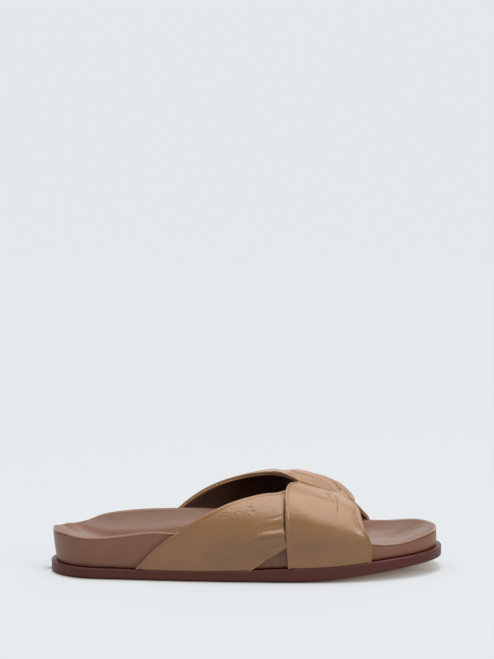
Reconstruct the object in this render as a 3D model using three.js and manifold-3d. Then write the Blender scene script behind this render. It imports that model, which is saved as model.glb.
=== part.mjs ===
// Slide sandal, right shoe. A footbed stands on a rubber outsole, and two padded leather
// bands cross over it: the rear band passes under the front one, turns up round its front
// edge and runs back over it to the other side.
// Millimetres. X runs from heel to toe, Y from the outer side of the foot to the inner
// side, Z up from the floor.
import * as THREE from "three";
import { mergeVertices } from "three/addons/utils/BufferGeometryUtils.js";
import Module from "manifold-3d";

const wasm = await Module();
wasm.setup();

// Driving sizes.
const LENGTH = 264; // outsole, heel to toe
const HEEL_WIDTH = 67; // outsole at the heel
const TOE_SPRING = 8.6; // rise of the outsole under the toe tip
const OUTSOLE_THICK = 7; // outsole at the heel
const LIP = 3.6; // how far the outsole stands out past the midsole
const EDGE_BEVEL = 1.6; // softened lower edge of the outsole
const GAP = 0.3; // air left between pieces that touch
const HEEL_FLARE = 2.2; // how far the heel rim stands out past the midsole's foot
const RIM_HEIGHT = 29.3; // rim of the footbed at the back of the heel
const BED_HEIGHT = 19; // footbed in the middle of the heel cup
const INSOLE_THICK = 1.6;
const TIP_OFFSET = 5; // how far the toe tip lies to the inner side
const RIDGE_OFFSET = 2; // the same for the top line of the bands
const HEEL_ROUND_SHARE = 0.13; // share of the length that the heel's curve takes
const OUTER_TOE_SHARE = 0.32; // the same for the toe's curve on the outer side
const INNER_TOE_SHARE = 0.2; // and on the inner side
const FLAT_SHARE = 0.6; // share of the length that stands flat on the floor
const CREST_HEIGHT = 92; // top line under the bands, carried back to its first station
const LAYER = 4; // one band at full padding
const BAND_EDGE = 2.4; // a band's thickness along its folded edges

// Steps of the meshes.
const AROUND = 90; // steps round the sole
const ACROSS = 8; // steps from one edge of a band to the other
const PER_ROW = 3; // steps between two rows of a band's table

// A cubic that runs smoothly through (at, value) pairs and stays level past both ends.
function curve(pairs) {
  const at = pairs.map((p) => p[0]);
  const value = pairs.map((p) => p[1]);
  const last = at.length - 1;
  const step = (i) => at[i + 1] - at[i];
  const rise = (i) => (value[i + 1] - value[i]) / step(i);
  const slope = (i) => {
    if (i === 0) return rise(0);
    if (i === last) return rise(last - 1);
    return (rise(i - 1) * step(i) + rise(i) * step(i - 1)) / (step(i - 1) + step(i));
  };
  const slopes = at.map((_, i) => slope(i));
  return (x) => {
    if (x <= at[0]) return value[0];
    if (x >= at[last]) return value[last];
    let i = 0;
    while (x > at[i + 1]) i += 1;
    const h = step(i);
    const t = (x - at[i]) / h;
    return (
      value[i] * (1 + 2 * t) * (1 - t) * (1 - t) +
      slopes[i] * h * t * (1 - t) * (1 - t) +
      value[i + 1] * t * t * (3 - 2 * t) +
      slopes[i + 1] * h * t * t * (t - 1)
    );
  };
}

// Sole tables. Each row is [share of LENGTH from the heel, share of the size it names].
const half = HEEL_WIDTH / 2;
const outerWidth = curve([
  [0, half], [0.13, half], [0.21, 1.075 * half], [0.3, 1.158 * half], [0.4, 1.233 * half],
  [0.5, 1.284 * half], [0.58, 1.313 * half], [0.67, 1.322 * half], [1, 1.322 * half],
]);
const innerWidth = curve([
  [0, half], [0.13, half], [0.24, 0.943 * half], [0.36, 0.937 * half], [0.46, 1.021 * half],
  [0.58, 1.224 * half], [0.68, 1.379 * half], [0.77, 1.424 * half], [1, 1.424 * half],
]);
const underside = (s) => {
  const x = Math.max(0, (s - FLAT_SHARE) / (1 - FLAT_SHARE));
  return (TOE_SPRING * x * x * (8 - 5 * x)) / 3;
};
const ledgeRise = curve([
  [0, 0], [0.46, 0], [0.58, 0.18], [0.68, 0.3], [0.78, 0.54], [0.86, 0.75], [0.94, 0.88], [1, 1],
]);
const rimOuter = curve([
  [0, 1], [0.036, 0.983], [0.072, 0.939], [0.106, 0.918], [0.136, 0.928], [0.189, 1.003],
  [0.25, 1.085], [0.34, 1.058], [0.511, 0.956], [0.625, 0.898], [0.739, 0.853], [0.811, 0.809],
  [0.864, 0.785], [0.917, 0.843], [1, 0.887],
].map(([s, share]) => [s, share * RIM_HEIGHT]));
const rimInner = curve([
  [0, 1], [0.03, 0.915], [0.053, 0.877], [0.076, 0.894], [0.125, 1.024], [0.205, 1.143],
  [0.311, 1.208], [0.402, 1.201], [0.511, 1.075], [0.625, 0.949], [0.739, 0.853],
  [0.833, 0.812], [0.871, 0.826], [0.913, 0.877], [0.947, 0.925], [0.977, 0.908], [1, 0.887],
].map(([s, share]) => [s, share * RIM_HEIGHT]));
const bed = curve([
  [0, 1.1], [0.13, 1], [0.26, 1.08], [0.38, 1.26], [0.5, 1.08], [0.64, 0.86], [0.72, 0.9],
  [0.79, 0.99], [0.87, 0.95], [1, 1.15],
].map(([s, share]) => [s, share * BED_HEIGHT]));
const crest = curve([
  [0.2, 1], [0.4, 0.804], [0.52, 0.701], [0.58, 0.652], [0.64, 0.598], [0.7, 0.543],
  [0.76, 0.489], [0.82, 0.435], [0.9, 0.37], [1, 0.315],
].map(([s, share]) => [s, share * CREST_HEIGHT]));
const ledge = (s) => OUTSOLE_THICK + TOE_SPRING * ledgeRise(s);
const flare = (s) => HEEL_FLARE * Math.max(0, 1 - s / 0.45);

// The sole's outline. The angle runs from the heel along the outer side to the toe (half a
// turn) and back along the inner side.
const share = (angle) => (1 - Math.cos(angle)) / 2;
function outlinePoint(angle) {
  const s = share(angle);
  const outer = angle <= Math.PI;
  const side = outer ? -outerWidth(s) : innerWidth(s);
  const round = outer ? OUTER_TOE_SHARE : INNER_TOE_SHARE;
  const heel = Math.sqrt(1 - (1 - Math.min(s, HEEL_ROUND_SHARE) / HEEL_ROUND_SHARE) ** 2);
  const toe = Math.sqrt(1 - (1 - Math.min(1 - s, round) / round) ** 2);
  const y = s < HEEL_ROUND_SHARE ? side * heel : TIP_OFFSET + (side - TIP_OFFSET) * toe;
  return [s * LENGTH, y];
}
function outline(angle, offset) {
  const turn = 2 * Math.PI;
  const [x, y] = outlinePoint(angle);
  const [ax, ay] = outlinePoint((angle - 1e-3 + turn) % turn);
  const [bx, by] = outlinePoint((angle + 1e-3) % turn);
  const length = Math.hypot(bx - ax, by - ay);
  return [x - (offset * (ay - by)) / length, y - (offset * (bx - ax)) / length];
}

// A closed surface through rings of points, each ring as long as the others. The first and
// last rings are closed by strips from each point to the one at the same place on the other
// side of the foot.
function loft(rings) {
  const n = rings[0].length;
  const index = [];
  const quad = (a, b, c, d) => index.push(a, b, c, a, c, d);
  for (let r = 0; r + 1 < rings.length; r += 1)
    for (let i = 0; i < n; i += 1) {
      const j = (i + 1) % n;
      quad(r * n + i, r * n + j, (r + 1) * n + j, (r + 1) * n + i);
    }
  const top = (rings.length - 1) * n;
  for (let i = 0; i < n / 2; i += 1) {
    const j = (n - i) % n;
    quad(i, j, n - i - 1, i + 1);
    quad(top + i, top + i + 1, top + n - i - 1, top + j);
  }
  return solid(rings.flat(), index);
}

// Joins equal points, drops the triangles that collapse and makes a manifold solid of the rest.
function solid(points, index) {
  const raw = new THREE.BufferGeometry();
  raw.setAttribute("position", new THREE.Float32BufferAttribute(points.flat(), 3));
  raw.setIndex(index);
  const merged = mergeVertices(raw, 1e-3);
  const kept = [];
  for (let i = 0; i < merged.index.count; i += 3) {
    const [a, b, c] = [0, 1, 2].map((k) => merged.index.getX(i + k));
    if (a !== b && b !== c && c !== a) kept.push(a, b, c);
  }
  return new wasm.Manifold(
    new wasm.Mesh({
      numProp: 3,
      vertProperties: new Float32Array(merged.attributes.position.array),
      triVerts: new Uint32Array(kept),
    }),
  );
}

const angles = Array.from({ length: AROUND }, (_, i) => (2 * Math.PI * i) / AROUND);
const ring = (offset, height) =>
  angles.map((angle) => [...outline(angle, offset(share(angle))), height(angle)]);

// Outsole: the underside, a softened lower edge, a straight side and the ledge.
function outsole() {
  const low = (angle) => underside(share(angle));
  const high = (angle) => ledge(share(angle));
  return loft([
    ring(() => -EDGE_BEVEL, low),
    ring(() => -0.3 * EDGE_BEVEL, (angle) => low(angle) + 0.3 * EDGE_BEVEL),
    ring(() => 0, (angle) => low(angle) + EDGE_BEVEL),
    ring(() => 0, (angle) => high(angle) - 0.4 * EDGE_BEVEL),
    ring(() => -0.4 * EDGE_BEVEL, high),
    ring(() => -2 * LIP, high),
  ]);
}

// The footbed's top. Its rings run from the rim (inward 0) to the line down its middle
// (inward 1), and it falls from the rim to the bed in a soft cup.
const rim = (angle) => (angle <= Math.PI ? rimOuter : rimInner)(share(angle));
function bedPoint(angle, inward) {
  const s = share(angle);
  const [rx, ry] = outline(angle, -LIP + flare(s));
  const middle = HEEL_ROUND_SHARE + s * (1 - HEEL_ROUND_SHARE - INNER_TOE_SHARE);
  const mx = middle * LENGTH;
  const my = (innerWidth(middle) - outerWidth(middle)) / 2;
  const x = rx + (mx - rx) * inward;
  const cup = (1 - inward) ** 3;
  const z = bed(x / LENGTH) * (1 - cup) + rim(angle) * cup;
  return [x, ry + (my - ry) * inward, z];
}
function bedRing(inward, depth) {
  return angles.map((angle) => {
    const [x, y, z] = bedPoint(angle, inward);
    if (inward === 0) return [x, y, z - depth];
    const [ax, ay, az] = bedPoint(angle, inward - 0.01);
    const fall = (az - z) / Math.hypot(ax - x, ay - y);
    return [x, y, z - depth * Math.hypot(1, Math.min(fall, 1.2))];
  });
}
const INWARD = [0, 0.1, 0.22, 0.36, 0.55, 0.78, 1];

// Insole: one sheet from rim to rim.
function insole() {
  const under = INWARD.toReversed().map((inward) => bedRing(inward, INSOLE_THICK));
  const top = INWARD.map((inward) => bedRing(inward, 0));
  return loft([...under, ...top]);
}

// Midsole: a wall from the ledge up to the insole, and the cup that carries it.
function midsole() {
  const depth = INSOLE_THICK + GAP;
  const wall = [0, 0.5].map((up) =>
    ring(
      (s) => -LIP + flare(s) * up,
      (angle) => (ledge(share(angle)) + GAP) * (1 - up) + (rim(angle) - depth) * up,
    ),
  );
  return loft([...wall, ...INWARD.map((inward) => bedRing(inward, depth))]);
}

// The last, the shape that the bands are stretched over. Around runs from 0 at the ledge on
// the outer side, over the top, to 1 at the ledge on the inner side; the walls of the
// midsole take the first and last WALL_SHARE of it.
const WALL_SHARE = 0.17;
const FULLNESS = 0.95;
function lastPoint(s, around) {
  const outer = around < 0.5;
  const angle = outer ? Math.acos(1 - 2 * s) : 2 * Math.PI - Math.acos(1 - 2 * s);
  const up = Math.min(1, Math.min(around, 1 - around) / WALL_SHARE);
  const [x, y] = outline(angle, -LIP + GAP + flare(s) * up);
  if (up < 1) return [x, y, (ledge(s) + GAP) * (1 - up) + rim(angle) * up];
  const turn = (Math.PI * (around - WALL_SHARE)) / (1 - 2 * WALL_SHARE);
  const reach = Math.abs(Math.cos(turn)) ** FULLNESS;
  const rise = Math.abs(Math.sin(turn)) ** FULLNESS;
  return [
    s * LENGTH + (x - s * LENGTH) * reach,
    RIDGE_OFFSET + (y - RIDGE_OFFSET) * reach,
    rim(angle) + (crest(s) - rim(angle)) * rise,
  ];
}

// The unit normal of a surface at (u, v), from its slopes in both directions.
function normal(surface, u, v, du, dv) {
  const clamp = (x) => Math.min(1, Math.max(0, x));
  const a = new THREE.Vector3(...surface(clamp(u + du), v));
  const b = new THREE.Vector3(...surface(clamp(u - du), v));
  const c = new THREE.Vector3(...surface(u, clamp(v + dv)));
  const d = new THREE.Vector3(...surface(u, clamp(v - dv)));
  return a.sub(b).cross(c.sub(d)).normalize();
}
function lifted(s, around, lift) {
  const out = normal(lastPoint, s, around, 0.004, 0.004);
  const [x, y, z] = lastPoint(s, around);
  return [x + out.x * lift, y + out.y * lift, z + out.z * lift];
}

// Band tables. A row is one fold line across the band, and its columns place the two edges
// on the last: s is the share of LENGTH, around is the last's own, and layers is the height
// of the edge over the last, in LAYERs. Bow and crown are how far the middle stands forward
// of the line between the edges, in shares of LENGTH, and up from it, in LAYERs. Pad is the
// thickness at the middle, in LAYERs.
const COLUMNS = ["s1", "around1", "layers1", "s2", "around2", "layers2", "bow", "crown", "pad"];
const FRONT_BAND = [
  [0.606, 0, 0.3, 0.812, 0, 0.3, 0, 0.1, 0.8],
  [0.606, 0.09, 0.3, 0.812, 0.09, 0.3, 0, 0.13, 0.86],
  [0.605, 0.17, 0.5, 0.81, 0.17, 0.4, 0, 0.18, 0.95],
  [0.603, 0.23, 1.05, 0.8, 0.23, 0.6, 0, 0.2, 1],
  [0.6, 0.29, 1.4, 0.784, 0.29, 0.9, 0, 0.2, 1],
  [0.598, 0.345, 1.5, 0.768, 0.345, 1.15, 0, 0.15, 1],
  [0.604, 0.39, 1.45, 0.745, 0.39, 1.25, 0, 0.1, 1],
  [0.622, 0.43, 1.35, 0.725, 0.43, 1.2, 0, 0.05, 0.95],
  [0.64, 0.5, 1.25, 0.712, 0.5, 1.1, 0, 0.05, 0.95],
  [0.64, 0.57, 1.05, 0.722, 0.57, 0.95, 0, 0.08, 0.95],
  [0.625, 0.64, 0.7, 0.748, 0.64, 0.7, 0, 0.12, 0.95],
  [0.612, 0.71, 0.42, 0.776, 0.71, 0.45, 0, 0.15, 0.95],
  [0.606, 0.78, 0.32, 0.804, 0.78, 0.35, 0, 0.15, 0.9],
  [0.606, 0.83, 0.3, 0.824, 0.83, 0.32, 0, 0.14, 0.88],
  [0.606, 0.91, 0.3, 0.828, 0.91, 0.3, 0, 0.13, 0.86],
  [0.606, 1, 0.3, 0.828, 1, 0.3, 0, 0.1, 0.8],
];
const REAR_BAND = [
  [0.218, 0, 0.3, 0.51, 0, 0.3, 0, 0.1, 0.8],
  [0.262, 0.076, 0.3, 0.53, 0.032, 0.3, 0, 0.12, 0.85],
  [0.31, 0.15, 0.35, 0.548, 0.066, 0.3, 0, 0.16, 0.92],
  [0.359, 0.195, 0.5, 0.566, 0.092, 0.3, 0, 0.2, 1],
  [0.408, 0.235, 0.55, 0.583, 0.118, 0.3, 0, 0.25, 1.05],
  [0.457, 0.275, 0.6, 0.6, 0.15, 0.35, 0, 0.25, 1.05],
  [0.506, 0.31, 0.6, 0.62, 0.19, 0.4, 0, 0.2, 1],
  [0.542, 0.335, 0.6, 0.645, 0.235, 0.4, 0, 0.15, 1],
  [0.58, 0.36, 0.55, 0.672, 0.28, 0.4, 0, 0.12, 1],
  [0.63, 0.43, 0.45, 0.702, 0.34, 0.45, 0, 0.08, 1],
  [0.68, 0.53, 0.4, 0.724, 0.41, 0.4, 0.004, 0.05, 1],
  [0.73, 0.56, 0.38, 0.742, 0.445, 0.38, 0.01, 0, 1],
  [0.752, 0.57, 0.5, 0.757, 0.445, 0.5, 0.012, 0, 1],
  [0.75, 0.577, 0.85, 0.755, 0.443, 0.85, 0.012, 0, 1],
  [0.732, 0.58, 1.28, 0.741, 0.44, 1.28, 0.01, 0, 1.05],
  [0.706, 0.585, 1.58, 0.716, 0.438, 1.62, 0.006, 0.05, 1.15],
  [0.675, 0.605, 1.7, 0.68, 0.438, 1.82, 0.003, 0.1, 1.25],
  [0.655, 0.65, 1.6, 0.642, 0.445, 1.9, 0, 0.12, 1.3],
  [0.64, 0.7, 1.4, 0.61, 0.475, 1.6, 0, 0.2, 1.35],
  [0.628, 0.75, 1.2, 0.578, 0.54, 0.9, 0, 0.3, 1.4],
  [0.617, 0.79, 1.1, 0.546, 0.605, 0.5, 0, 0.55, 1.55],
  [0.605, 0.83, 0.95, 0.502, 0.66, 0.36, 0, 0.72, 1.6],
  [0.59, 0.868, 0.65, 0.442, 0.722, 0.32, 0, 0.72, 1.55],
  [0.574, 0.9, 0.42, 0.374, 0.788, 0.3, 0, 0.55, 1.35],
  [0.545, 0.95, 0.32, 0.296, 0.868, 0.3, 0, 0.25, 1],
  [0.51, 1, 0.3, 0.218, 1, 0.3, 0, 0.1, 0.8],
];

// The padding's swell: 0 along both edges, 1 in the middle.
const pillow = (w) => Math.sqrt(Math.max(0, Math.sin(Math.PI * w)));

// One band as a solid: its middle surface, and half its thickness to each side of it.
function band(rows) {
  const last = rows.length - 1;
  const at = {};
  COLUMNS.forEach((name, k) => {
    at[name] = curve(rows.map((row, i) => [i / last, row[k]]));
  });
  const mix = (name, t, w) => at[name + "1"](t) * (1 - w) + at[name + "2"](t) * w;
  const middle = (t, w) => {
    return lifted(
      mix("s", t, w) + at.bow(t) * pillow(w),
      mix("around", t, w),
      LAYER * (mix("layers", t, w) + at.crown(t) * pillow(w)),
    );
  };
  const thickness = (t, w) => BAND_EDGE + (LAYER * at.pad(t) - BAND_EDGE) * pillow(w);
  const rings = [];
  const steps = last * PER_ROW;
  for (let i = 0; i <= steps; i += 1) {
    const t = i / steps;
    const near = [];
    const far = [];
    for (let j = 0; j <= ACROSS; j += 1) {
      const w = (1 - Math.cos((Math.PI * j) / ACROSS)) / 2;
      const out = normal(middle, t, w, 0.2 / steps, 0.02);
      const [x, y, z] = middle(t, w);
      const h = thickness(t, w) / 2;
      near.push([x - out.x * h, y - out.y * h, z - out.z * h]);
      far.push([x + out.x * h, y + out.y * h, z + out.z * h]);
    }
    rings.push([...near, ...far.toReversed()]);
  }
  return tube(rings);
}

// A closed surface through rings, its two ends closed by strips between their two faces.
function tube(rings) {
  const n = rings[0].length;
  const index = [];
  const quad = (a, b, c, d) => index.push(a, b, c, a, c, d);
  for (let r = 0; r + 1 < rings.length; r += 1)
    for (let i = 0; i < n; i += 1) {
      const j = (i + 1) % n;
      quad(r * n + i, r * n + j, (r + 1) * n + j, (r + 1) * n + i);
    }
  const end = (rings.length - 1) * n;
  for (let i = 0; i + 1 < n / 2; i += 1) {
    quad(i, n - i - 1, n - i - 2, i + 1);
    quad(end + i, end + i + 1, end + n - i - 2, end + n - i - 1);
  }
  return solid(rings.flat(), index);
}

const upper = () => band(FRONT_BAND).add(band(REAR_BAND));

const MATERIALS = {
  outsole: { color: 0x46291f, roughness: 0.75, metalness: 0 },
  midsole: { color: 0x6b4b42, roughness: 0.6, metalness: 0 },
  insole: { color: 0x94705f, roughness: 0.6, metalness: 0 },
  upper: { color: 0xa58062, roughness: 0.5, metalness: 0 },
};

function mesh(name, body) {
  const { numProp, numVert, vertProperties, triVerts } = body.getMesh();
  const xyz = new Float32Array(numVert * 3);
  for (let i = 0; i < numVert; i += 1)
    xyz.set(vertProperties.subarray(i * numProp, i * numProp + 3), i * 3);
  const geometry = new THREE.BufferGeometry();
  geometry.setAttribute("position", new THREE.BufferAttribute(xyz, 3));
  geometry.setIndex(new THREE.BufferAttribute(triVerts, 1));
  geometry.computeVertexNormals();
  const made = new THREE.Mesh(geometry, new THREE.MeshStandardMaterial(MATERIALS[name]));
  made.name = name;
  return made;
}

const sandal = new THREE.Group();
sandal.name = "slide_sandal";
sandal.add(mesh("outsole", outsole()));
sandal.add(mesh("midsole", midsole()));
sandal.add(mesh("insole", insole()));
sandal.add(mesh("upper", upper()));
// The frame's origin lies on the floor at half the length.
sandal.position.x = -LENGTH / 2;

export default sandal;
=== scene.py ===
# %% [markdown]
# # A slide sandal with looped leather bands
# The sandal is one right shoe: a rubber outsole, a footbed wrapped in brown leather, a
# leather insole, and two padded tan bands that loop through each other over the foot.
# Every shape below is a surface worked out with numpy in millimetres, in the same frame as
# the solids: X runs from heel to toe, Y to the inner side of the foot, Z up from the floor.

import math

import bmesh
import bpy
import numpy as np
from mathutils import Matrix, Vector


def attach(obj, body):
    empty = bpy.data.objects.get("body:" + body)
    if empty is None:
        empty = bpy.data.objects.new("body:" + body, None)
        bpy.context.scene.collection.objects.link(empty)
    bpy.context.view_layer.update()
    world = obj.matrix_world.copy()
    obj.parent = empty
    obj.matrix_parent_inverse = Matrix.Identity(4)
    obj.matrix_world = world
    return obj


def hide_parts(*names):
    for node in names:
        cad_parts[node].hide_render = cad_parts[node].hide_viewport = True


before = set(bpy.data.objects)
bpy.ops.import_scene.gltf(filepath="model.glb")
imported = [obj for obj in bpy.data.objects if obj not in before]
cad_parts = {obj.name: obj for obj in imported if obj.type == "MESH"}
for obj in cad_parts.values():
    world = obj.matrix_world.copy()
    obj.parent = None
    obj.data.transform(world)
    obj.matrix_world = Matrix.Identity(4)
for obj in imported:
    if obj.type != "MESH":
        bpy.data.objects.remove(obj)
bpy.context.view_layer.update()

# %% [markdown]
# ## Sizes
# These are the same named sizes as in the part's source, in millimetres. A ratio is a share
# of the length. Every piece takes its size from them, so the pieces fit each other.

# %% Named sizes
LENGTH = 264
HEEL_WIDTH = 67
TOE_SPRING = 8.6  # how far the outsole's tip stands off the floor
OUTSOLE_THICK = 7
LIP = 3.6  # how far the outsole stands out round the footbed
GAP = 0.3  # between pieces that are glued together
HEEL_FLARE = 2.2  # how far the footbed's wall leans out at the heel
RIM_HEIGHT = 29.3  # about the height of the rim at the heel
BED_HEIGHT = 19  # of the bed under the heel bone
INSOLE_THICK = 1.6
TIP_OFFSET = 5  # of the toe's tip, to the inner side
RIDGE_OFFSET = 2  # of the last's top line, to the inner side
CREST_HEIGHT = 92  # of the last at a fifth of the length
LAYER = 4  # one padded band
BAND_EDGE = 2.4  # its thickness at the edge
HEEL_ROUND_SHARE = 0.13  # share of the length that the heel's curve takes
OUTER_TOE_SHARE = 0.32  # the same for the toe's curve on the outer side
INNER_TOE_SHARE = 0.2  # and on the inner side
FLAT_SHARE = 0.6  # share of the length that stands flat on the floor
WALL_SHARE = 0.17  # share of the way round the last that each wall takes
FULLNESS = 0.95  # of the last's arch: 1 is an ellipse, less is squarer
print("outsole", LENGTH, "mm long,", HEEL_WIDTH, "mm wide at the heel")


# %% [markdown]
# A shoemaker's pattern is a few measured points joined by a batten. The curve below does
# the same: through each pair of points runs a cubic, and neighbours share their slope.

# %% Smooth curves through a few points
def curve(pairs, scale=1.0):
    """A cubic between each two points. Each point's slope is the mean of the slopes of the
    stretches beside it, each weighted by the length of the other."""
    at, value = np.array(pairs, float).T
    value = value * scale
    step = np.diff(at)
    rise = np.diff(value) / step
    slope = np.empty_like(at)
    slope[0], slope[-1] = rise[0], rise[-1]
    slope[1:-1] = (rise[:-1] * step[1:] + rise[1:] * step[:-1]) / (step[:-1] + step[1:])

    def run(x):
        x = np.clip(np.asarray(x, float), at[0], at[-1])
        i = np.clip(np.searchsorted(at, x, side="right") - 1, 0, len(at) - 2)
        h = step[i]
        t = (x - at[i]) / h
        return (
            value[i] * (1 + 2 * t) * (1 - t) ** 2
            + slope[i] * h * t * (1 - t) ** 2
            + value[i + 1] * t * t * (3 - 2 * t)
            + slope[i + 1] * h * t * t * (t - 1)
        )

    return run


# %% The sole's widths and heights, as shares of the named sizes
outer_width = curve(
    [(0, 1), (0.13, 1), (0.21, 1.075), (0.3, 1.158), (0.4, 1.233), (0.5, 1.284),
     (0.58, 1.313), (0.67, 1.322), (1, 1.322)], HEEL_WIDTH / 2)
inner_width = curve(
    [(0, 1), (0.13, 1), (0.24, 0.943), (0.36, 0.937), (0.46, 1.021), (0.58, 1.224),
     (0.68, 1.379), (0.77, 1.424), (1, 1.424)], HEEL_WIDTH / 2)
FLARE_END = 0.45
ledge_rise = curve(
    [(0, 0), (0.46, 0), (0.58, 0.18), (0.68, 0.3), (0.78, 0.54), (0.86, 0.75),
     (0.94, 0.88), (1, 1)], TOE_SPRING)
rim_outer = curve(
    [(0, 0.97), (0.02, 0.995), (0.036, 0.99), (0.072, 0.945), (0.106, 0.935),
     (0.136, 0.945), (0.189, 1.003), (0.25, 1.085), (0.34, 1.058), (0.511, 0.956),
     (0.625, 0.908), (0.739, 0.872), (0.811, 0.845), (0.864, 0.795), (0.917, 0.83),
     (0.955, 0.895), (1, 0.95)], RIM_HEIGHT)
rim_inner = curve(
    [(0, 0.97), (0.012, 0.91), (0.03, 0.905), (0.053, 0.88), (0.076, 0.9),
     (0.125, 1.04), (0.205, 1.158), (0.311, 1.208), (0.402, 1.201), (0.511, 1.075),
     (0.625, 0.949), (0.739, 0.853), (0.833, 0.812), (0.871, 0.826), (0.913, 0.877),
     (0.947, 0.93), (0.977, 0.95), (1, 0.95)], RIM_HEIGHT)
bed = curve(
    [(0, 1.1), (0.13, 1), (0.26, 1.08), (0.38, 1.26), (0.5, 1.08), (0.64, 0.86),
     (0.72, 0.87), (0.79, 0.86), (0.87, 0.83), (1, 0.97)], BED_HEIGHT)
crest = curve(
    [(0.2, 1), (0.4, 0.804), (0.52, 0.701), (0.58, 0.652), (0.64, 0.598), (0.7, 0.543),
     (0.76, 0.489), (0.82, 0.435), (0.9, 0.37), (1, 0.315)], CREST_HEIGHT)


def ledge(s):
    """Height of the ledge that the footbed stands on."""
    return OUTSOLE_THICK + ledge_rise(s)


def flare(s):
    """How far the wall leans out: all of HEEL_FLARE at the heel, none from the waist on."""
    return HEEL_FLARE * np.clip(1 - s / FLARE_END, 0, None)


def underside(s):
    """Flat on the floor, then a cubic up to the toe spring."""
    x = np.clip((s - FLAT_SHARE) / (1 - FLAT_SHARE), 0, None)
    return TOE_SPRING * x * x * (8 - 5 * x) / 3


print("rim over the heel", round(float(rim_outer(0)), 1), "mm")


# %% The outline of the sole
def share(angle):
    """The share of the length at an angle round the sole: a half less half the cosine."""
    return (1 - np.cos(angle)) / 2


def outline_point(angle):
    """Half an ellipse at the heel, half of another at each side of the toe, and the width
    tables between them. Angles from 0 to pi are the outer side, pi to 2 pi the inner."""
    s = share(angle)
    outer = angle <= math.pi
    side = np.where(outer, -outer_width(s), inner_width(s))
    toe_share = np.where(outer, OUTER_TOE_SHARE, INNER_TOE_SHARE)
    heel = np.sqrt(1 - (1 - np.minimum(s, HEEL_ROUND_SHARE) / HEEL_ROUND_SHARE) ** 2)
    toe = np.sqrt(1 - (1 - np.minimum(1 - s, toe_share) / toe_share) ** 2)
    y = np.where(s < HEEL_ROUND_SHARE, side * heel, TIP_OFFSET + (side - TIP_OFFSET) * toe)
    return s * LENGTH, y


def outline(angle, offset):
    """The outline moved outwards by offset, along the normal of a short chord."""
    step = 1e-3
    x, y = outline_point(angle)
    ax, ay = outline_point((angle - step) % (2 * math.pi))
    bx, by = outline_point((angle + step) % (2 * math.pi))
    length = np.hypot(bx - ax, by - ay)
    return x - offset * (ay - by) / length, y - offset * (bx - ax) / length


# %% Making a mesh from a grid of points
def surface(name, grid, wrap=True, **attributes):
    """One four-sided face between each four neighbours of a grid of points in mm. wrap
    joins the last column to the first. Equal points are merged."""
    rows, columns = grid.shape[:2]
    number = np.arange(rows * columns).reshape(rows, columns)
    if wrap:
        number = np.concatenate([number, number[:, :1]], axis=1)
    faces = np.stack(
        [number[:-1, :-1], number[:-1, 1:], number[1:, 1:], number[1:, :-1]], axis=-1
    ).reshape(-1, 4)
    mesh = bpy.data.meshes.new(name)
    points = (grid.reshape(-1, 3) - [LENGTH / 2, 0, 0]) / 1000
    mesh.from_pydata(points, [], faces)
    for key, values in attributes.items():
        layer = mesh.attributes.new(key, "FLOAT", "POINT")
        layer.data.foreach_set("value", np.ascontiguousarray(values, np.float32).ravel())
    piece = bpy.data.objects.new(name, mesh)
    bpy.context.scene.collection.objects.link(piece)
    tidy(piece)
    return piece


def tidy(piece):
    """Merges equal points, turns the faces outwards and shades the piece smooth."""
    work = bmesh.new()
    work.from_mesh(piece.data)
    bmesh.ops.remove_doubles(work, verts=work.verts, dist=2e-6)
    bmesh.ops.recalc_face_normals(work, faces=work.faces)
    work.to_mesh(piece.data)
    work.free()
    piece.data.shade_smooth()


# %% [markdown]
# ## The sole
# The three pieces of the sole are rings round the same outline, from a line down the middle
# of one face, out over the edge and back to the middle of the other. Only the list of
# rings differs: how far each lies from the outline, and how high. Rings across a face take
# the height that the sole has at their own x. The pieces could be cut from blocks, but
# rings run along every edge, so the edges stay smooth and the pieces can't cross.

# %% Rings round the sole
AROUND = 720
angles = 2 * math.pi * (np.arange(AROUND) + 0.5) / AROUND
along = share(angles)
rim = np.where(angles <= math.pi, rim_outer(along), rim_inner(along))


def middle_line():
    """The line down the middle of the foot that each ring shrinks towards: halfway between
    the two widths."""
    s = HEEL_ROUND_SHARE + along * (1 - HEEL_ROUND_SHARE - INNER_TOE_SHARE)
    return s * LENGTH, (inner_width(s) - outer_width(s)) / 2


def ring(offset, height, inward=0.0):
    """The outline at an offset, drawn towards the middle line by the share inward."""
    x, y = outline(angles, offset)
    mx, my = middle_line()
    return np.stack([x + (mx - x) * inward, y + (my - y) * inward, height + 0 * x], axis=-1)


def sheet(offset, height_at, extra, inward):
    """A ring across one face of the sole, at the height that the sole has at its own x."""
    points = ring(offset, 0.0, inward)
    points[:, 2] = height_at(points[:, 0] / LENGTH) + extra
    return points


# %% [markdown]
# The outsole is a moulded rubber sheet. Its ledge runs round the footbed, its upper edge is
# just broken by the trimming knife, and its lower edge is rounder where it meets the floor.

# %% Outsole
FOOT_ROUND = 1  # radius of the lower edge
SHOULDER = 0.8  # radius of the upper edge
HOLLOW = 0.12  # of the side between them
SEAT = [(0.9, 0.05), (0.3, 0.25), (-1, 0.3)]  # outside the footbed, and down, mm


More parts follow.
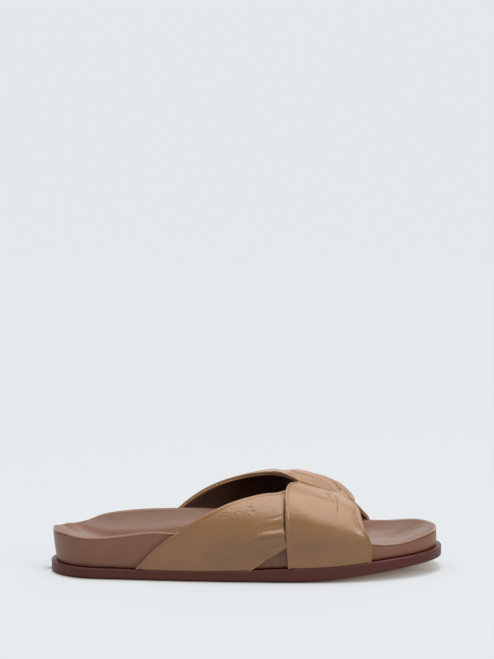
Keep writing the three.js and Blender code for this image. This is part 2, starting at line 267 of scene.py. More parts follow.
def outsole_rings():
    """Under face, quarter circle, slightly hollow side, quarter circle, and the top, which
    dips a little under the footbed."""
    low, high = underside(along), ledge(along)
    under = [
        sheet(-FOOT_ROUND, underside, 0, inward) for inward in (1, 0.75, 0.5, 0.25, 0.05, 0)
    ]
    foot = [
        ring(-FOOT_ROUND * (1 - math.sin(a)), low + FOOT_ROUND - FOOT_ROUND * math.cos(a))
        for a in np.linspace(0, math.pi / 2, 8)[1:]
    ]
    side = [
        ring(-HOLLOW * math.sin(math.pi * k), (low + FOOT_ROUND) * (1 - k) + (high - SHOULDER) * k)
        for k in (0.25, 0.5, 0.75)
    ]
    shoulder = [
        ring(-SHOULDER * (1 - math.cos(a)), high - SHOULDER * (1 - math.sin(a)))
        for a in np.linspace(0, math.pi / 2, 6)
    ]
    top = [ring(-LIP + out, high - down) for out, down in SEAT]
    out, down = SEAT[-1]
    inside = [sheet(-LIP + out, ledge, -down, inward) for inward in (0.1, 0.4, 0.7, 1)]
    return np.stack(under + foot + side + shoulder + top + inside)


outsole = surface("outsole_rubber", outsole_rings())
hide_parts("outsole")
print("outsole faces:", len(outsole.data.polygons))


# %% [markdown]
# The footbed's cup could be a bowl of constant slope, but real ones are moulded cork. So the
# cup falls from the rim to the bed as a power of the way inward, which keeps the middle
# nearly flat and turns up steeply at the rim.

# %% Footbed surface
cup_power = curve([(0, 3), (0.2, 3.2), (0.4, 4), (0.7, 3.6), (0.85, 3), (1, 3)])


def bed_ring(inward, depth):
    """Height = bed + (rim - bed) * (1 - inward) to a power, lowered by depth square to the
    cup. The higher the power, the steeper the cup turns up at its rim."""
    offset = -LIP + flare(along)
    points = ring(offset, 0.0, inward)
    power = cup_power(along)
    cup = (1 - inward) ** power
    height = bed(points[:, 0] / LENGTH) * (1 - cup) + rim * cup
    step = 0.01
    near = ring(offset, 0.0, inward + step)
    near_cup = np.clip(1 - inward - step, 0, 1) ** power
    near_height = bed(near[:, 0] / LENGTH) * (1 - near_cup) + rim * near_cup
    run = np.hypot(near[:, 0] - points[:, 0], near[:, 1] - points[:, 1])
    fall = np.clip((height - near_height) / run, 0, 1.2)
    points[:, 2] = height - depth * np.sqrt(1 + fall**2)
    return points


INWARD = np.concatenate([np.linspace(0.03, 0.4, 24), np.linspace(0.43, 1, 20)])  # close at the rim


# %% [markdown]
# The midsole is a light core with brown leather drawn round its side. The wall leans out at
# the heel. At the bottom it tucks in a little over the outsole, which gives the dark line.

# %% Midsole
RIM_ROUND = 0.7  # radius of the wall's upper edge
BELLY = 0.25  # of the wall, outwards


def midsole_rings():
    """Base, the tuck under the wall, the wall with a sine belly, a quarter circle at its
    top, and the cup that the insole lies in."""
    low, lean = ledge(along), flare(along)
    top = rim - INSOLE_THICK - GAP
    base = [sheet(-LIP - 1.2, ledge, 0, inward) for inward in (1, 0.6, 0.2, 0)]
    tuck = [ring(-LIP - 0.5, low + GAP - 0.1), ring(-LIP - 0.1, low + 0.8)]
    wall = [
        ring(
            -LIP + lean * k + BELLY * math.sin(math.pi * k),
            (low + 1) * (1 - k) + (top - RIM_ROUND) * k,
        )
        for k in np.linspace(0.04, 1, 14)
    ]
    edge = [
        ring(-LIP + lean - RIM_ROUND * (1 - math.cos(a)), top - RIM_ROUND * (1 - math.sin(a)))
        for a in np.linspace(0, math.pi / 2, 6)[1:]
    ]
    cup = [bed_ring(inward, INSOLE_THICK + GAP) for inward in INWARD]
    return np.stack(base + tuck + wall + edge + cup)


midsole = surface("midsole_wrap", midsole_rings())
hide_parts("midsole")
print("midsole faces:", len(midsole.data.polygons))


# %% [markdown]
# The insole is one sheet of leather glued into the cup. It could be a colour on the
# footbed, but its cut edge stands just proud of the wall all round the rim and catches the
# light as a thin line, so it is a piece of its own.

# %% Insole
CUT_EDGE = 9  # rings over the cut edge
PROUD = 0.35  # how far it stands out
CUT_DROP = 0.75  # half its height


def insole_rings():
    """Upper face, the round of the cut edge, and the lower face in its own thickness."""
    lean = flare(along)
    over = [bed_ring(inward, 0.0) for inward in INWARD[::-1]]
    nose = [
        ring(-LIP + lean + PROUD * math.sin(a) - 0.15, rim - CUT_DROP * (1 - math.cos(a)))
        for a in np.linspace(0.15, math.pi - 0.15, CUT_EDGE)
    ]
    under = [bed_ring(inward, INSOLE_THICK) for inward in INWARD]
    return np.stack(over + nose + under)


sock = insole_rings()
ring_number = np.arange(len(sock))[:, None]
edge_tone_and_highlight = np.where(angles <= math.pi, 1.0, 0.2)  # the cut edge's paler colour, stronger on the outer side as a painted highlight
at_edge = (ring_number >= len(INWARD)) & (ring_number < len(INWARD) + CUT_EDGE)
insole = surface("insole_sock", sock, cut=np.where(at_edge, edge_tone_and_highlight, 0.0))
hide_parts("insole")
print("insole faces:", len(insole.data.polygons))


# %% [markdown]
# ## The bands
# The bands were stretched over a last, the shape of the foot. They could be draped as a
# cloth, but their crossing is fixed by hand in a real shoe too. So the last is a surface of
# two numbers: the share of the length, and how far round it a point lies, from the outer
# ledge (0) over the top to the inner ledge (1). A band is a strip of that surface.

# %% The last
def last_point(s, around):
    """Straight walls up to the rim, then an arch: the way in from the wall is the cosine,
    and the way up to the crest the sine, of one angle, each to the power FULLNESS."""
    outer = around < 0.5
    angle = np.arccos(np.clip(1 - 2 * s, -1, 1))
    angle = np.where(outer, angle, 2 * math.pi - angle)
    up = np.clip(np.minimum(around, 1 - around) / WALL_SHARE, 0, 1)
    x, y = outline(angle, -LIP + GAP + flare(s) * up)
    edge = np.where(outer, rim_outer(s), rim_inner(s))
    turn = math.pi * (around - WALL_SHARE) / (1 - 2 * WALL_SHARE)
    reach = np.where(up < 1, 1, np.abs(np.cos(turn)) ** FULLNESS)
    rise = np.where(up < 1, 0, np.abs(np.sin(turn)) ** FULLNESS)
    wall = (ledge(s) + GAP) * (1 - up) + edge * up
    return np.stack(
        [
            s * LENGTH + (x - s * LENGTH) * reach,
            RIDGE_OFFSET + (y - RIDGE_OFFSET) * reach,
            np.where(up < 1, wall, edge + (crest(s) - edge) * rise),
        ],
        axis=-1,
    )


def unit(v):
    """Each vector over its own length."""
    return v / np.maximum(np.linalg.norm(v, axis=-1, keepdims=True), 1e-9)


def lifted(s, around, lift):
    """A point of the last moved out along its normal, from slopes over small steps."""
    step = 0.004
    ds = last_point(s + step, around) - last_point(s - step, around)
    up, down = np.minimum(around + step, 1), np.maximum(around - step, 0)
    da = last_point(s, up) - last_point(s, down)
    return last_point(s, around) + unit(np.cross(ds, da)) * lift[..., None]


# %% [markdown]
# Each row of a band's table is one fold line across the band: where its two edges lie on
# the last, how many layers up, how far the middle bows forward and stands up, and how
# thick the padding is. The front band runs straight over the foot. The rear band passes
# under it, turns up round its front edge and runs back over it.

# %% Band tables
FRONT_BAND = [
    # s, around and layers of one edge; the same of the other; bow, crown, pad
    (0.602, 0, 0.3, 0.812, 0, 0.3, 0, 0.1, 0.8),
    (0.602, 0.09, 0.3, 0.812, 0.09, 0.3, 0, 0.2, 0.9),
    (0.6, 0.17, 0.5, 0.808, 0.17, 0.35, 0, 0.3, 1.0),
    (0.598, 0.23, 1.05, 0.796, 0.23, 0.5, 0, 0.33, 1.1),
    (0.595, 0.29, 1.4, 0.784, 0.29, 0.8, 0, 0.3, 1.1),
    (0.593, 0.345, 1.5, 0.776, 0.345, 1.15, 0, 0.25, 1.1),
    (0.599, 0.395, 1.45, 0.766, 0.39, 1.25, 0, 0.1, 1),
    (0.62, 0.432, 1.35, 0.75, 0.43, 1.2, 0, 0.05, 0.95),
    (0.64, 0.5, 1.25, 0.735, 0.49, 1.1, 0, 0.05, 0.95),
    (0.64, 0.57, 1.05, 0.732, 0.56, 0.95, 0, 0.08, 0.95),
    (0.625, 0.64, 0.7, 0.748, 0.64, 0.7, 0, 0.12, 0.95),
    (0.612, 0.71, 0.42, 0.776, 0.71, 0.45, 0, 0.15, 0.95),
    (0.606, 0.78, 0.32, 0.804, 0.78, 0.35, 0, 0.15, 0.9),
    (0.606, 0.83, 0.3, 0.824, 0.83, 0.32, 0, 0.14, 0.88),
    (0.606, 0.91, 0.3, 0.828, 0.91, 0.3, 0, 0.13, 0.86),
    (0.606, 1, 0.3, 0.828, 1, 0.3, 0, 0.1, 0.8),
]
REAR_BAND = [
    (0.218, 0, 0.3, 0.51, 0, 0.3, 0, 0.1, 0.8),
    (0.262, 0.076, 0.3, 0.53, 0.032, 0.3, 0, 0.25, 0.95),
    (0.31, 0.15, 0.3, 0.548, 0.066, 0.3, 0, 0.45, 1.1),
    (0.359, 0.195, 0.35, 0.566, 0.092, 0.3, 0, 0.6, 1.2),
    (0.408, 0.235, 0.4, 0.583, 0.118, 0.3, 0, 0.7, 1.25),
    (0.457, 0.275, 0.45, 0.6, 0.15, 0.35, 0, 0.65, 1.25),
    (0.506, 0.31, 0.5, 0.62, 0.19, 0.4, 0, 0.45, 1.15),
    (0.542, 0.335, 0.55, 0.645, 0.235, 0.4, 0, 0.25, 1.05),
    (0.58, 0.36, 0.55, 0.672, 0.28, 0.4, 0, 0.12, 1),
    (0.63, 0.43, 0.45, 0.702, 0.34, 0.45, 0, 0.08, 1),
    (0.68, 0.53, 0.4, 0.724, 0.41, 0.4, 0.004, 0.05, 1),
    (0.74, 0.585, 0.38, 0.742, 0.455, 0.38, 0.012, 0, 1),
    (0.756, 0.62, 0.5, 0.766, 0.475, 0.35, 0.004, 0, 1),
    (0.756, 0.64, 0.75, 0.764, 0.475, 0.5, 0.003, 0.05, 1),
    (0.744, 0.64, 1.05, 0.744, 0.465, 0.9, 0.003, 0.25, 1.05),
    (0.724, 0.63, 1.35, 0.714, 0.45, 1.2, 0.004, 0.5, 1.15),
    (0.688, 0.635, 1.45, 0.68, 0.442, 1.35, 0.003, 0.55, 1.2),
    (0.655, 0.66, 1.3, 0.642, 0.44, 1.35, 0, 0.6, 1.3),
    (0.64, 0.7, 1.2, 0.608, 0.47, 1.05, 0, 0.6, 1.35),
    (0.628, 0.75, 1.2, 0.576, 0.54, 0.5, 0, 0.6, 1.45),
    (0.617, 0.79, 1.1, 0.544, 0.605, 0.3, 0, 1.4, 1.6),
    (0.605, 0.83, 0.95, 0.502, 0.66, 0.3, 0, 1.65, 1.65),
    (0.59, 0.868, 0.65, 0.442, 0.722, 0.3, 0, 1.6, 1.65),
    (0.574, 0.9, 0.42, 0.374, 0.788, 0.3, 0, 1.1, 1.45),
    (0.545, 0.95, 0.32, 0.296, 0.868, 0.3, 0, 0.25, 1),
    (0.51, 1, 0.3, 0.218, 1, 0.3, 0, 0.1, 0.8),
]
BEND_ROW = 12.7  # the row of the rear band where it turns up round the front band


# %% [markdown]
# A band is two leathers with padding between them. The lining is cut wider and folded up,
# and the outer leather is folded under and sewn down on it, so each edge shows two thin
# beads with a groove between them. The table gives that edge: how far each point lies
# inside the band's edge, and how high over its middle surface.

# %% The folded edge
EDGE = np.array([  # inward mm, up mm
    (1.9, 1.32), (1.45, 1.22), (1.1, 0.98), (0.93, 0.65), (0.98, 0.3), (0.82, 0.1),
    (0.55, 0.08), (0.25, -0.05), (0.05, -0.32), (0.0, -0.65), (0.12, -1.0), (0.6, -1.2),
])
EDGE_TURNED = EDGE[::-1] * [1, -1]


def pillow(w):
    """The padding's swell: the root of the sine, 0 at both edges and 1 in the middle."""
    return np.sqrt(np.clip(np.sin(math.pi * w), 0, None))


# %% [markdown]
# Creases are placed where the photograph shows them. They could be a bump in the
# material, but they show in the outline and throw shadows, so they are in the mesh. Each is
# a soft line across the band, given by a few places on it: the row along the band, and the
# share of the way from its first edge to its second. A negative depth makes a ridge.

# %% Creases
FRONT_CREASES = [
    # width mm, depth mm, then the places (row, share)
    (0.55, 0.75, [(6.4, 0.69), (5.9, 0.72), (5.4, 0.728), (4.7, 0.72), (4.25, 0.7)]),
    (0.5, 0.6, [(6.5, 0.54), (6.0, 0.6), (5.5, 0.63), (5.05, 0.635)]),
    (0.5, 0.45, [(6.9, 0.6), (6.4, 0.655), (6.0, 0.67)]),
    (0.5, 0.35, [(6.6, 0.74), (6.1, 0.77), (5.7, 0.775)]),
    (6.0, -0.3, [(4.6, 0.88), (3.8, 0.9), (3.0, 0.93), (2.2, 0.95)]),
    (5.0, 0.35, [(4.6, 0.3), (4.1, 0.45), (3.7, 0.62)]),
    (1.6, 0.5, [(12.2, 0.15), (12.8, 0.4), (13.2, 0.5)]),
    (1.6, 0.4, [(11.6, 0.9), (12.4, 0.7), (13.1, 0.62)]),
]
REAR_CREASES = [  # the same
    # the valleys of the knot, wide enough to be seen from low down
    (1.4, 1.3, [(19.2, 0.9), (18.25, 0.86), (17.4, 0.8), (16.75, 0.78), (16.25, 0.8),
                (15.6, 0.84)]),
    (1.5, 3.0, [(17.2, 0.4), (16.7, 0.46), (16.2, 0.53), (15.7, 0.62), (15.3, 0.7),
                (14.9, 0.8), (14.55, 0.88), (14.2, 0.97)]),
    (1.4, 2.7, [(15.7, 0.44), (15.2, 0.55), (14.75, 0.66), (14.45, 0.75), (14.0, 0.86),
                (13.7, 0.97)]),
    (1.5, 0.9, [(14.9, 0.42), (14.4, 0.56), (13.9, 0.68), (13.5, 0.79), (13.1, 0.9)]),
    (1.8, 0.7, [(14.6, 0.2), (14.2, 0.32), (13.7, 0.44), (13.2, 0.55), (12.7, 0.66)]),
    (1.8, 0.6, [(14.4, 0.03), (13.8, 0.11), (13.2, 0.21), (12.6, 0.3)]),
    # the rolls between them
    (2.4, -1.6, [(19.2, 0.985), (18.2, 0.965), (17.3, 0.94), (16.5, 0.92), (15.9, 0.93),
                 (15.2, 0.965)]),
    (1.8, -0.7, [(18.2, 0.62), (17.2, 0.62), (16.5, 0.66), (16.0, 0.72), (15.5, 0.79),
                 (15.0, 0.87)]),
    # fine creases where the band bends over the foot
    (0.6, 0.4, [(5.25, 0.05), (5.05, 0.12), (4.9, 0.2)]),
    (0.7, 0.75, [(5.6, 0.12), (5.5, 0.19), (5.42, 0.27)]),
    (0.6, 0.35, [(5.62, 0.04), (5.4, 0.14)]),
    (0.7, 0.5, [(6.95, 0.06), (6.65, 0.27)]),
    (0.6, 0.35, [(6.15, 0.04), (6.0, 0.14)]),
    (0.7, 0.25, [(4.5, 0.04), (4.22, 0.15)]),
    (0.7, 0.3, [(4.95, 0.06), (4.6, 0.2)]),
    (0.7, 0.4, [(6.65, 0.17), (6.3, 0.34)]),
    # the pucker beside the front band, and the line its edge presses in
    (1.0, 0.4, [(4.6, 0.44), (5.35, 0.56), (6.2, 0.7)]),
    (0.8, 0.3, [(5.8, 0.5), (6.6, 0.58)]),
    (1.8, -1.4, [(4.1, 0.55), (4.7, 0.62), (5.2, 0.72), (5.7, 0.83), (6.05, 0.92)]),
    (1.8, 0.5, [(3.6, 0.92), (4.6, 0.94), (5.4, 0.96)]),
    (1.5, 1.8, [(8.3, 0.08), (7.5, 0.4), (6.88, 0.59), (6.34, 0.74), (5.85, 0.87), (5.4, 0.97)]),
    # long soft folds where the strand comes down to the inner side
    (2.4, 0.35, [(17.4, 0.2), (18.6, 0.3), (20, 0.36)]),
    (2.6, 0.35, [(17.6, 0.5), (19, 0.56), (20.6, 0.6), (22.4, 0.66)]),
    (2.4, 0.3, [(18.2, 0.1), (19.4, 0.14), (20.6, 0.16)]),
    (1.4, 0.5, [(19.2, 0.76), (21, 0.8), (22.8, 0.83)]),
]


PATH_STEPS = 64
SWELL = 0.2  # height of the swell beside a crease, as a share of its depth


def crease(middle, t, line):
    """Height in mm round a line drawn on the middle surface: a Gaussian trough as deep as
    the crease, with a lower Gaussian swell beside it, fading to both ends."""
    width, depth, places = line
    row, share_across = np.array(places).T
    k = np.linspace(0, 1, PATH_STEPS)
    knots = np.linspace(0, 1, len(places))
    row = curve(list(zip(knots, row)))(k)
    share_across = curve(list(zip(knots, share_across)))(k)
    across = middle.shape[1] - 1
    i = np.interp(row, t, np.arange(len(t)))
    j = np.arccos(np.clip(1 - 2 * share_across, -1, 1)) / math.pi * across
    i0 = np.clip(i.astype(int), 0, middle.shape[0] - 2)
    j0 = np.clip(j.astype(int), 0, across - 1)
    fi, fj = (i - i0)[:, None], (j - j0)[:, None]
    path = (
        middle[i0, j0] * (1 - fi) * (1 - fj) + middle[i0 + 1, j0] * fi * (1 - fj)
        + middle[i0, j0 + 1] * (1 - fi) * fj + middle[i0 + 1, j0 + 1] * fi * fj
    )
    low, high = np.searchsorted(t, [row.min() - 2, row.max() + 2])
    gap = np.linalg.norm(middle[low:high, :, None] - path, axis=-1)
    nearest = gap.argmin(axis=-1)
    d = gap.min(axis=-1) / width
    fade = np.sin(math.pi * (0.04 + 0.92 * k[nearest])) ** 0.7
    height = np.zeros(middle.shape[:2])
    height[low:high] = depth * fade * (
        SWELL * np.exp(-((d - 2) ** 2)) - np.exp(-(d**2))
    )
    return height


# %% One band as a closed surface
FINE = 3  # how many times more steps the rows with the deepest creases get
TURN_ROWS = 1.6  # rows over which the rear band turns its other face up
KNOT_ROWS = 3.2  # rows to each side of the bend that hide the lining
SHALLOW = 0.4  # mm, creases up to this depth get no painted shade in the leather's colour


def band(name, rows, creases, bend_row, fine_rows, per_row, across):
    """Middle surface: a strip of the last between two edges. Both faces lie half the
    thickness from it, and the folded edge joins them on each side. The creases move only
    the face that shows. Attributes say where the lining shows, and how much painted shade a deep
    fold gets."""
    table = np.array(rows, float)
    steps = [per_row * FINE if k in fine_rows else per_row for k in range(len(rows) - 1)]
    t = np.concatenate([k + np.arange(n) / n for k, n in enumerate(steps)] + [[len(steps)]])
    t = t[:, None]
    columns = [curve(list(enumerate(table[:, k])))(t) for k in range(table.shape[1])]
    s1, a1, l1, s2, a2, l2, bow, crown, pad = columns
    w = (1 - np.cos(np.linspace(0, math.pi, across + 1)))[None] / 2
    s = s1 * (1 - w) + s2 * w + bow * pillow(w)
    around = a1 * (1 - w) + a2 * w
    middle = lifted(s, around, LAYER * (l1 * (1 - w) + l2 * w + crown * pillow(w)))
    side = unit(np.gradient(middle, axis=1))
    normal = unit(np.cross(np.gradient(middle, axis=0), np.gradient(middle, axis=1)))
    turned = 0 * t if bend_row is None else np.clip((t - bend_row) / TURN_ROWS + 0.5, 0, 1)
    half = (BAND_EDGE + (LAYER * pad - BAND_EDGE) * pillow(w)) / 2
    relief = sum(crease(middle, t[:, 0], line) for line in creases)
    # how much painted shade the colour gets at the bottom of a deep crease
    fold = np.clip(-relief - SHALLOW, 0, 1)
    near = middle - normal * (half + relief * (1 - turned))[..., None]
    far = middle + normal * (half + relief * turned)[..., None]
    bead = 1 - turned[..., None]
    inset = (1 - 2 * w)[..., None] + 0 * near[..., :1]
    near = near + side * inset * (EDGE[0, 0] * bead + EDGE[-1, 0] * (1 - bead))
    far = far + side * inset * (EDGE[-1, 0] * bead + EDGE[0, 0] * (1 - bead))
    profile = EDGE[None] * bead + EDGE_TURNED[None] * (1 - bead)

    def edge(j, sign):
        """The folded edge at one side of the band, from the near face to the far face."""
        return (
            middle[:, j : j + 1]
            + sign * side[:, j : j + 1] * profile[..., 0:1]
            - normal[:, j : j + 1] * profile[..., 1:2]
        )

    grid = np.concatenate(
        [near[:, 1:-1], edge(across, -1), far[:, ::-1][:, 1:-1], edge(0, 1)[:, ::-1]], axis=1
    )
    n, m = across - 1, len(EDGE)
    knot = 0 * t if bend_row is None else np.clip(KNOT_ROWS - np.abs(t - bend_row), 0, 1)
    lining = np.zeros(grid.shape[:2])
    lining[:, n + m : 2 * n + m] = (1 - turned) * (1 - knot)
    lining[:, :n] = turned * (1 - knot)
    shade = np.zeros(grid.shape[:2])
    shade[:, :n] = (fold * (1 - turned))[:, 1:-1]
    shade[:, n + m : 2 * n + m] = (fold * turned)[:, ::-1][:, 1:-1]
    caps = [
        np.broadcast_to(end.mean(axis=1, keepdims=True), end.shape)
        for end in (grid[:1], grid[-1:])
    ]
    grid = np.concatenate([caps[0], grid, caps[1]])
    lining = np.concatenate([lining[:1], lining, lining[-1:]])
    shade = np.concatenate([shade[:1], shade, shade[-1:]])
    return surface(name, grid, lining=lining, fold=shade)


front_band = band("front_band", FRONT_BAND, FRONT_CREASES, None, range(4, 7), 12, 110)
rear_band = band("rear_band", REAR_BAND, REAR_CREASES, BEND_ROW, range(12, 18), 9, 124)
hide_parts("upper")
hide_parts("upper")
print("band faces:", len(front_band.data.polygons), len(rear_band.data.polygons))

# %% [markdown]
# ## Materials
# All the leathers are smooth and lightly coated. They could share one material in three
# colours, but the sock is polished by the foot and the wrap is duller, so each has its own
# gloss. Colours are given as the sRGB hex values that a colour picker shows, and one
# function turns them to the linear values of the shader.

# %% Helpers for materials
def linear(hex_colour):
    """sRGB to linear: a power of 2.4 above a short straight foot."""
    c = np.array([int(hex_colour[i : i + 2], 16) / 255 for i in (1, 3, 5)])
    c = np.where(c <= 0.04045, c / 12.92, ((c + 0.055) / 1.055) ** 2.4)
    return (*c.tolist(), 1.0)


def node(tree, kind, settings=None, **inputs):
    """Adds a node, sets its own settings, and sets or links its input sockets by name."""
    made = tree.nodes.new(kind)
    for key, value in (settings or {}).items():
        setattr(made, key, value)
    for key, value in inputs.items():
        socket = made.inputs[int(key[1:]) if key[0] == "_" else key.replace("_", " ")]
        if isinstance(value, bpy.types.NodeSocket):
            tree.links.new(value, socket)
        else:
            socket.default_value = value
    return made


def new_material(name, roughness, ior=1.5, specular=0.5, tint=(1, 1, 1, 1)):
    """A material with a Principled shader, and its tree and shader."""
    material = bpy.data.materials.new(name)
    material.use_nodes = True
    shader = material.node_tree.nodes["Principled BSDF"]
    shader.inputs["Roughness"].default_value = roughness
    shader.inputs["IOR"].default_value = ior
    shader.inputs["Specular IOR Level"].default_value = specular
    shader.inputs["Specular Tint"].default_value = tint
    return material, material.node_tree, shader


# %% Smooth leather
def leather(name, base, dark, roughness, specular, masks=(), mottling=12.0, grain=0.9):
    """Colour: two tones by slow noise, `mottling` mm across. Bump: fine grain, `grain` mm
    across, drawn coarser than the real 0.3 mm so that it shows, over a soft unevenness
    of 9 mm. Each mask is a mesh attribute and the colour it mixes in."""
    warm = (1.0, 0.97, 0.88, 1)  # the wax in the finish warms what it reflects
    material, tree, shader = new_material(name, roughness, specular=specular, tint=warm)
    place = node(tree, "ShaderNodeTexCoord").outputs["Object"]
    slow = node(tree, "ShaderNodeTexNoise", Vector=place, Scale=1000 / mottling, Detail=3.0)
    tones = node(
        tree, "ShaderNodeMix", {"data_type": "RGBA"}, _0=slow.outputs["Fac"],
        _6=linear(dark), _7=linear(base),
    )
    colour = tones.outputs[2]
    for key, tint in masks:
        inner = node(tree, "ShaderNodeAttribute", {"attribute_name": key})
        mixed = node(
            tree, "ShaderNodeMix", {"data_type": "RGBA"}, _0=inner.outputs["Fac"],
            _6=colour, _7=linear(tint),
        )
        colour = mixed.outputs[2]
    tree.links.new(colour, shader.inputs["Base Color"])
    deep = node(tree, "ShaderNodeAttribute", {"attribute_name": "fold"})
    dull = node(  # the bottom of a fold is never rubbed to a shine
        tree, "ShaderNodeMix", {"data_type": "FLOAT"}, _0=deep.outputs["Fac"],
        _2=roughness, _3=0.95,
    )
    tree.links.new(dull.outputs[0], shader.inputs["Roughness"])
    cells = node(
        tree, "ShaderNodeTexVoronoi", {"feature": "SMOOTH_F1"}, Vector=place, Scale=1000 / grain
    )
    fine = node(
        tree, "ShaderNodeBump", Height=cells.outputs["Distance"], Strength=0.42,
        Distance=0.0003,
    )
    drape = node(tree, "ShaderNodeTexNoise", Vector=place, Scale=1000 / 9, Detail=2.0)
    soft = node(
        tree, "ShaderNodeBump", Height=drape.outputs["Fac"], Strength=0.45, Distance=0.0008,
        Normal=fine.outputs["Normal"],
    )
    tree.links.new(soft.outputs["Normal"], shader.inputs["Normal"])
    return material


# The first mask paints shade into the bottoms of deep creases; the second is the lining's own
# colour.
tan_nappa = leather(
    "tan_nappa_leather", "#88613f", "#755233", 0.34, 0.6,
    [("fold", "#2a170d"), ("lining", "#35211a")])
brown_nappa = leather("brown_wrap_leather", "#7a503e", "#724937", 0.38, 0.45)
# The mask gives the insole's cut edge its paler colour, with a painted highlight on the outer
# side.
insole_nappa = leather("insole_leather", "#633b25", "#563320", 0.32, 0.42, [("cut", "#94705c")])


# %% Moulded rubber
def rubber():
    """A matt brown-red rubber with a fine moulded grain, 0.6 mm across."""
    material, tree, shader = new_material("moulded_rubber", 0.45, specular=0.3)
    place = node(tree, "ShaderNodeTexCoord").outputs["Object"]
    noise = node(tree, "ShaderNodeTexNoise", Vector=place, Scale=1000 / 15, Detail=4.0)
    tones = node(
        tree, "ShaderNodeMix", {"data_type": "RGBA"}, _0=noise.outputs["Fac"],
        _6=linear("#451d16"), _7=linear("#4f231a"),
    )
    tree.links.new(tones.outputs[2], shader.inputs["Base Color"])
    grit = node(tree, "ShaderNodeTexNoise", Vector=place, Scale=1000 / 0.6, Detail=2.0)
    bump = node(tree, "ShaderNodeBump", Height=grit.outputs["Fac"], Strength=0.2, Distance=0.0002)
    tree.links.new(bump.outputs["Normal"], shader.inputs["Normal"])
    return material


def finish(piece, material):
    """Gives a piece its material, and lets it ride on the shoe's one body."""
    piece.data.materials.clear()
    piece.data.materials.append(material)
    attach(piece, "root")


finish(outsole, rubber())
finish(midsole, brown_nappa)
finish(insole, insole_nappa)
finish(front_band, tan_nappa)
finish(rear_band, tan_nappa)

# %% [markdown]
# ## Stage
# The photograph has a white floor that runs up into a white wall, a very large soft light
# overhead, and a camera a little above the shoe. A flat plane would show a horizon, so the
# floor and the wall are one sweep of paper.

# %% Size and power of the softbox
SOFTBOX = {"centre": (0.15, -0.15, 1.6), "size": (2.4, 2.2), "power": 64.0}
SKY = 0.1  # strength of the room's own light
BOUNCE = 0.12  # light that the far paper sends back to the floor


# %% Floor and wall in one sweep
def sweep():
    """Profile: flat floor, a quarter circle, then straight up, carried along X. Points lie
    closest under the shoe, where its shadow falls, and 0.2 mm under the floor's height."""
    turn = np.linspace(0, math.pi / 2, 24)
    coarse = np.concatenate([np.linspace(0.1, 0.5, 12), np.linspace(0.6, 2.1, 16)])
    flat = np.concatenate([-coarse[::-1], np.linspace(-0.08, 0.08, 81), coarse])
    y = np.concatenate([[-3], flat, 2.2 + 1.2 * np.sin(turn), [3.4]])
    z = np.concatenate([0 * flat, [0], 1.2 - 1.2 * np.cos(turn), [4.0]]) - 0.0002
    side = np.concatenate([np.linspace(0.16, 0.5, 12), np.linspace(0.6, 4, 16)])
    x = np.concatenate([-side[::-1], np.linspace(-0.15, 0.15, 151), side])
    return np.stack(np.broadcast_arrays(x[None], y[:, None], z[:, None]), axis=-1)


PATCHES = 12  # along each side of the softbox


def softbox_light(points, normals):
    """What a white sheet would send back: the softbox's radiance times the two cosines over
    the distance squared, added up over patches of the softbox, divided by pi."""
    cx, cy, cz = SOFTBOX["centre"]
    sx, sy = SOFTBOX["size"]
    radiance = SOFTBOX["power"] / (math.pi * sx * sy)
    total = np.zeros(points.shape[:-1])
    patches = (np.arange(PATCHES) + 0.5) / PATCHES - 0.5
    for px in patches:
        for py in patches:
            ray = np.array([cx + px * sx, cy + py * sy, cz]) - points
            r = np.linalg.norm(ray, axis=-1)
            facing = np.clip((ray * normals).sum(axis=-1) / r, 0, None)
            total += radiance * facing * np.clip(ray[..., 2] / r, 0, None) / r**2
    return total * (sx * sy / PATCHES**2) / math.pi


# %% [markdown]
# In a studio the paper is lit by its own lamps until it is evenly bright. Many lamps would
# be slow and hard to balance, so each place of the paper gives off what the softbox leaves
# short. Under the sole that glow is cut back as a painted shadow, whose reach under the
# outline is worked out from the gap between sole and floor. Next to the shoe the paper also
# takes real light and shadow, and the glow left under the sole is painted brown, a painted bounce
# off the sole.

# %% The paper
PAPER = 0.79  # linear brightness of the lit paper in the photograph
EDGE_REACH = 2  # mm, how far the painted shadow of the sole reaches over the open paper beside it


def painted_sole_shadow(points):
    """Share of the glow left by the painted shadow: 1 in the open. Straight under the
    outline it is gap / (gap + EDGE_REACH), and it falls off inwards over four times the gap
    and outwards over EDGE_REACH."""
    x, y = points[..., 0] * 1000 + LENGTH / 2, points[..., 1] * 1000
    s = np.clip(x / LENGTH, 0, 1)
    angle = np.arccos(1 - 2 * s)
    _, outer = outline_point(angle)
    _, inner = outline_point(2 * math.pi - angle)
    beyond = np.maximum(np.abs(x - LENGTH / 2) - LENGTH / 2, np.maximum(outer - y, y - inner))
    gap = underside(s) + 0.05
    under_edge = gap / (gap + EDGE_REACH)
    inside = under_edge * np.exp(np.minimum(beyond, 0) / (4 * gap))
    outside = 1 - (1 - under_edge) * np.exp(-np.maximum(beyond, 0) / EDGE_REACH)
    return np.where(points[..., 2] > 0.001, 1, np.where(beyond < 0, inside, outside))


points = sweep()
normals = unit(np.cross(np.gradient(points, axis=1), np.gradient(points, axis=0)))
distance = np.hypot(points[..., 0], points[..., 1])
white = 0.04 + 0.08 * np.exp(-((distance / 0.7) ** 2))
lit = softbox_light(points, normals)
open_floor = painted_sole_shadow(points)
# The glow tops the paper up to an even white and is cut back under the sole as a painted shadow.
glow = np.clip(PAPER - white * (lit + SKY + BOUNCE), 0, None) * open_floor
print("softbox on the paper:", round(float(lit.max()), 2))
floor = surface("floor_sweep", points * 1000 + [LENGTH / 2, 0, 0], wrap=False,
                white=white, glow=glow, open_floor=open_floor)


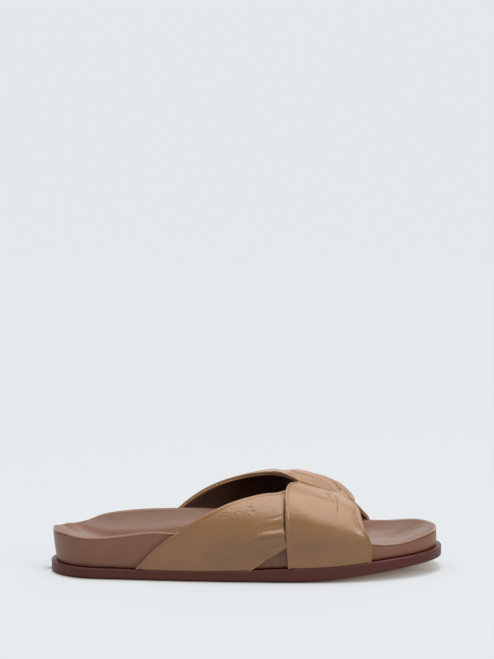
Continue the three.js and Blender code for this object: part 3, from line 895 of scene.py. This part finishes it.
def paper():
    """White paper that gives off the light its attributes call for, with a painted shadow and a
    painted brown bounce under the sole.
    """
    material, tree, shader = new_material("white_paper", 0.9, specular=0.0)
    shade = node(tree, "ShaderNodeAttribute", {"attribute_name": "white"})
    lamp = node(tree, "ShaderNodeAttribute", {"attribute_name": "glow"})
    tint = node(
        tree, "ShaderNodeMix", {"data_type": "RGBA"}, _0=shade.outputs["Fac"],
        _6=(0, 0, 0, 1), _7=(0.965, 1, 1.02, 1),
    )
    tree.links.new(tint.outputs[2], shader.inputs["Base Color"])
    tree.links.new(lamp.outputs["Fac"], shader.inputs["Emission Strength"])
    painted_shadow_share = node(tree, "ShaderNodeAttribute", {"attribute_name": "open_floor"})
    warm = node(  # painted brown bounce from the sole, where the painted shadow falls
        tree, "ShaderNodeMix", {"data_type": "RGBA"}, _0=painted_shadow_share.outputs["Fac"],
        _6=(0.9, 0.62, 0.4, 1), _7=(0.985, 1.02, 1.05, 1),
    )
    tree.links.new(warm.outputs[2], shader.inputs["Emission Color"])
    return material


floor.data.materials.append(paper())

# %% [markdown]
# The camera's place, tilt and lens were fitted to the outsole's outline in the photograph,
# so the picture lies over it. It could stand nearer with a shorter lens, but then the far
# edge of the sole would look too small.

# %% Camera
CAMERA_PLACE = (0.0002, -1.4672, 0.3369)
CAMERA_DOWN = 6.785  # degrees
FOCAL_LENGTH = 120.69
camera = bpy.data.objects.new("camera", bpy.data.cameras.new("camera"))
bpy.context.scene.collection.objects.link(camera)
camera.location = CAMERA_PLACE
camera.rotation_euler = (math.pi / 2 - math.radians(CAMERA_DOWN), 0, 0)
camera.data.lens = FOCAL_LENGTH
camera.data.sensor_width = 36
camera.data.clip_end = 50
bpy.context.scene.camera = camera


# %% [markdown]
# One softbox overhead gives the broad sheen of the leather. Alone it would leave the walls
# flat, so four weak panels stand low round the shoe and draw its edges.

# %% Lights
def area(name, place, aim, size, power):
    """A rectangle of light in watts, turned so that it shines from its place to its aim."""
    light = bpy.data.lights.new(name, "AREA")
    light.shape = "RECTANGLE"
    light.size, light.size_y = size
    light.energy = power
    lamp = bpy.data.objects.new(name, light)
    bpy.context.scene.collection.objects.link(lamp)
    lamp.location = place
    toward = np.array(aim) - np.array(place)
    lamp.rotation_mode = "QUATERNION"
    lamp.rotation_quaternion = Vector(toward).to_track_quat("-Z", "Y")
    return lamp


cx, cy, cz = SOFTBOX["centre"]
area("softbox", (cx, cy, cz), (cx, cy, 0), SOFTBOX["size"], SOFTBOX["power"])
# fills the side walls
area("low_front", (0.3, -2.6, 0.3), (0, 0, 0.05), (4, 0.6), 6)
# sheen on the insole and on the top of the knot
area("back_strip", (0.1, 1.8, 0.95), (0, 0, 0.03), (2.6, 0.45), 7)
# the glint on the front band's edge, and the heel's highlight
area("strip_right", (1.3, -0.85, 0.9), (0.06, 0, 0.04), (0.22, 0.5), 10)
area("strip_left", (-1.6, -0.5, 0.5), (0, 0, 0.04), (0.3, 0.9), 5)
world = bpy.data.worlds.new("room")
world.use_nodes = True
world.node_tree.nodes["Background"].inputs["Color"].default_value = (0.93, 0.97, 1.0, 1)
world.node_tree.nodes["Background"].inputs["Strength"].default_value = SKY
bpy.context.scene.world = world
bpy.context.scene.view_settings.view_transform = "Standard"

bpy.context.view_layer.update()
